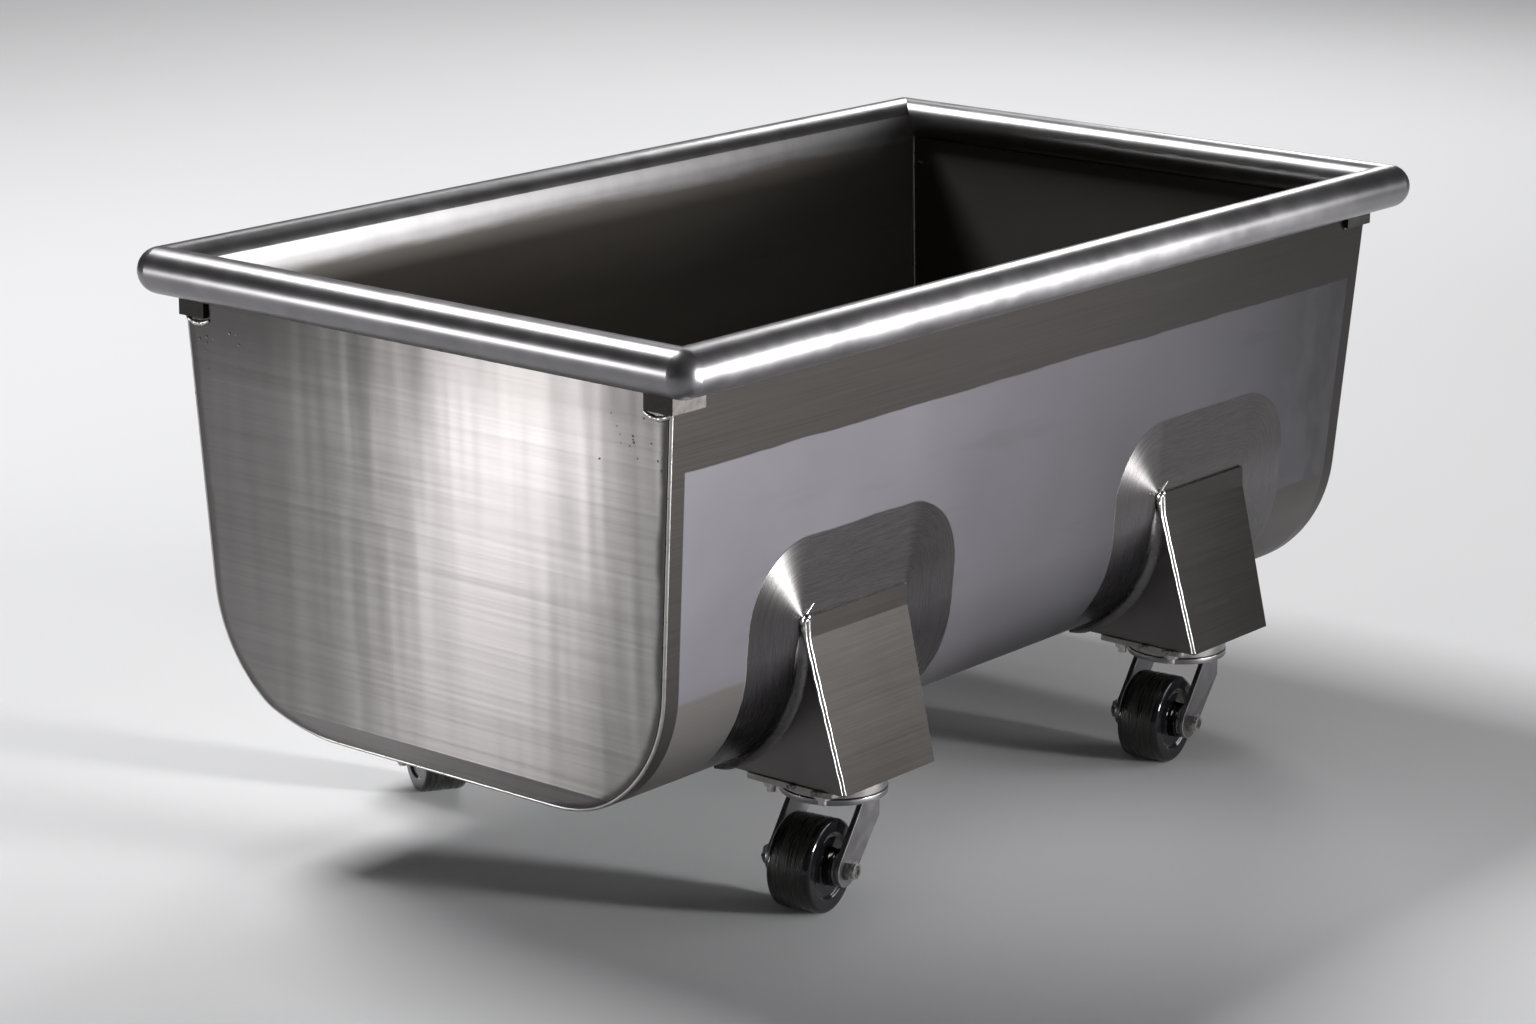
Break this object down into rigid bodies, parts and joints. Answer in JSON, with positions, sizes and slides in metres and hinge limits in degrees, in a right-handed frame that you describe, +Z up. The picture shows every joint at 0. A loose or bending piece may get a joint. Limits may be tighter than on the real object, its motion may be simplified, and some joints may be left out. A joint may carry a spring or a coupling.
{
  "type": "dough trough",
  "caption": "Long stainless steel dough trough with a round-bottomed tub, a rolled tube rim and swivel casters under boxed leg pods.",
  "frame": {"origin": "on the floor, under the middle of the trough", "axes": "+Z up, +X along the length, +Y from the front side to the back side"},
  "size_m": [1.3498, 0.7718, 0.658],
  "materials": {
    "side_sheet": "dull mill finish, with polished strips along its welds",
    "end_sheet": "brushed across the end",
    "seam_weld": "ground and polished",
    "rim_tube": "polished",
    "gusset_plate": "ground",
    "pod_plate": "brushed, with bright welds along the edges",
    "caster_plate": "dull",
    "fork": "dull, bright at the edges",
    "fastener": "bright",
    "race": "dull",
    "ball": "polished",
    "bearing": "satin",
    "wheel": "glossy sides, tread worn dull"
  },
  "bodies": {
    "trough": {"side_and_bottom_sheet": "side_sheet", "left_end_sheet": "end_sheet", "right_end_sheet": "end_sheet", "end_seam_welds": "seam_weld", "front_rim_tube": "rim_tube", "back_rim_tube": "rim_tube", "left_rim_tube": "rim_tube", "right_rim_tube": "rim_tube", "rim_corner_caps": "rim_tube", "corner_gussets": "gusset_plate", "caster_studs": "fastener", "caster_stud_nuts": "fastener", "upper_races": "race", "swivel_balls": "ball", "kingpins": "fastener", "kingpin_nuts": "fastener", "pod_front_plate_front_left": "pod_plate", "pod_front_plate_front_right": "pod_plate", "pod_front_plate_back_left": "pod_plate", "pod_front_plate_back_right": "pod_plate", "pod_side_plates_front_left": "pod_plate", "pod_side_plates_front_right": "pod_plate", "pod_side_plates_back_left": "pod_plate", "pod_side_plates_back_right": "pod_plate", "pod_base_plate_front_left": "pod_plate", "pod_base_plate_front_right": "pod_plate", "pod_base_plate_back_left": "pod_plate", "pod_base_plate_back_right": "pod_plate", "caster_plate_front_left": "caster_plate", "caster_plate_front_right": "caster_plate", "caster_plate_back_left": "caster_plate", "caster_plate_back_right": "caster_plate"},
    "front_left_fork": {"fork_front_left": "fork", "axle_bolt_front_left": "fastener", "axle_nut_front_left": "fastener", "axle_sleeve_front_left": "fastener", "hub_washers_front_left": "fastener"},
    "front_left_wheel": {"wheel_front_left": "wheel", "wheel_bearing_front_left": "bearing"},
    "front_right_fork": {"fork_front_right": "fork", "axle_bolt_front_right": "fastener", "axle_nut_front_right": "fastener", "axle_sleeve_front_right": "fastener", "hub_washers_front_right": "fastener"},
    "front_right_wheel": {"wheel_front_right": "wheel", "wheel_bearing_front_right": "bearing"},
    "back_left_fork": {"fork_back_left": "fork", "axle_bolt_back_left": "fastener", "axle_nut_back_left": "fastener", "axle_sleeve_back_left": "fastener", "hub_washers_back_left": "fastener"},
    "back_left_wheel": {"wheel_back_left": "wheel", "wheel_bearing_back_left": "bearing"},
    "back_right_fork": {"fork_back_right": "fork", "axle_bolt_back_right": "fastener", "axle_nut_back_right": "fastener", "axle_sleeve_back_right": "fastener", "hub_washers_back_right": "fastener"},
    "back_right_wheel": {"wheel_back_right": "wheel", "wheel_bearing_back_right": "bearing"}
  },
  "joints": [
    {"name": "front_left_swivel", "type": "hinge", "parent": "trough", "child": "front_left_fork", "pos_m": [-0.325, -0.297, 0.12], "axis": [0, 0, 1], "continuous": true},
    {"name": "front_left_roll", "type": "hinge", "parent": "front_left_fork", "child": "front_left_wheel", "pos_m": [-0.37241, -0.30451, 0.0508], "axis": [0.1564, -0.9877, 0], "continuous": true},
    {"name": "front_right_swivel", "type": "hinge", "parent": "trough", "child": "front_right_fork", "pos_m": [0.325, -0.297, 0.12], "axis": [0, 0, 1], "continuous": true},
    {"name": "front_right_roll", "type": "hinge", "parent": "front_right_fork", "child": "front_right_wheel", "pos_m": [0.27736, -0.30285, 0.0508], "axis": [0.1219, -0.9925, 0], "continuous": true},
    {"name": "back_left_swivel", "type": "hinge", "parent": "trough", "child": "back_left_fork", "pos_m": [-0.325, 0.297, 0.12], "axis": [0, 0, 1], "continuous": true},
    {"name": "back_left_roll", "type": "hinge", "parent": "back_left_fork", "child": "back_left_wheel", "pos_m": [-0.349, 0.25543, 0.0508], "axis": [0.866, -0.5, 0], "continuous": true},
    {"name": "back_right_swivel", "type": "hinge", "parent": "trough", "child": "back_right_fork", "pos_m": [0.325, 0.297, 0.12], "axis": [0, 0, 1], "continuous": true},
    {"name": "back_right_roll", "type": "hinge", "parent": "back_right_fork", "child": "back_right_wheel", "pos_m": [0.2815, 0.27671, 0.0508], "axis": [0.4226, -0.9063, 0], "continuous": true}
  ]
}
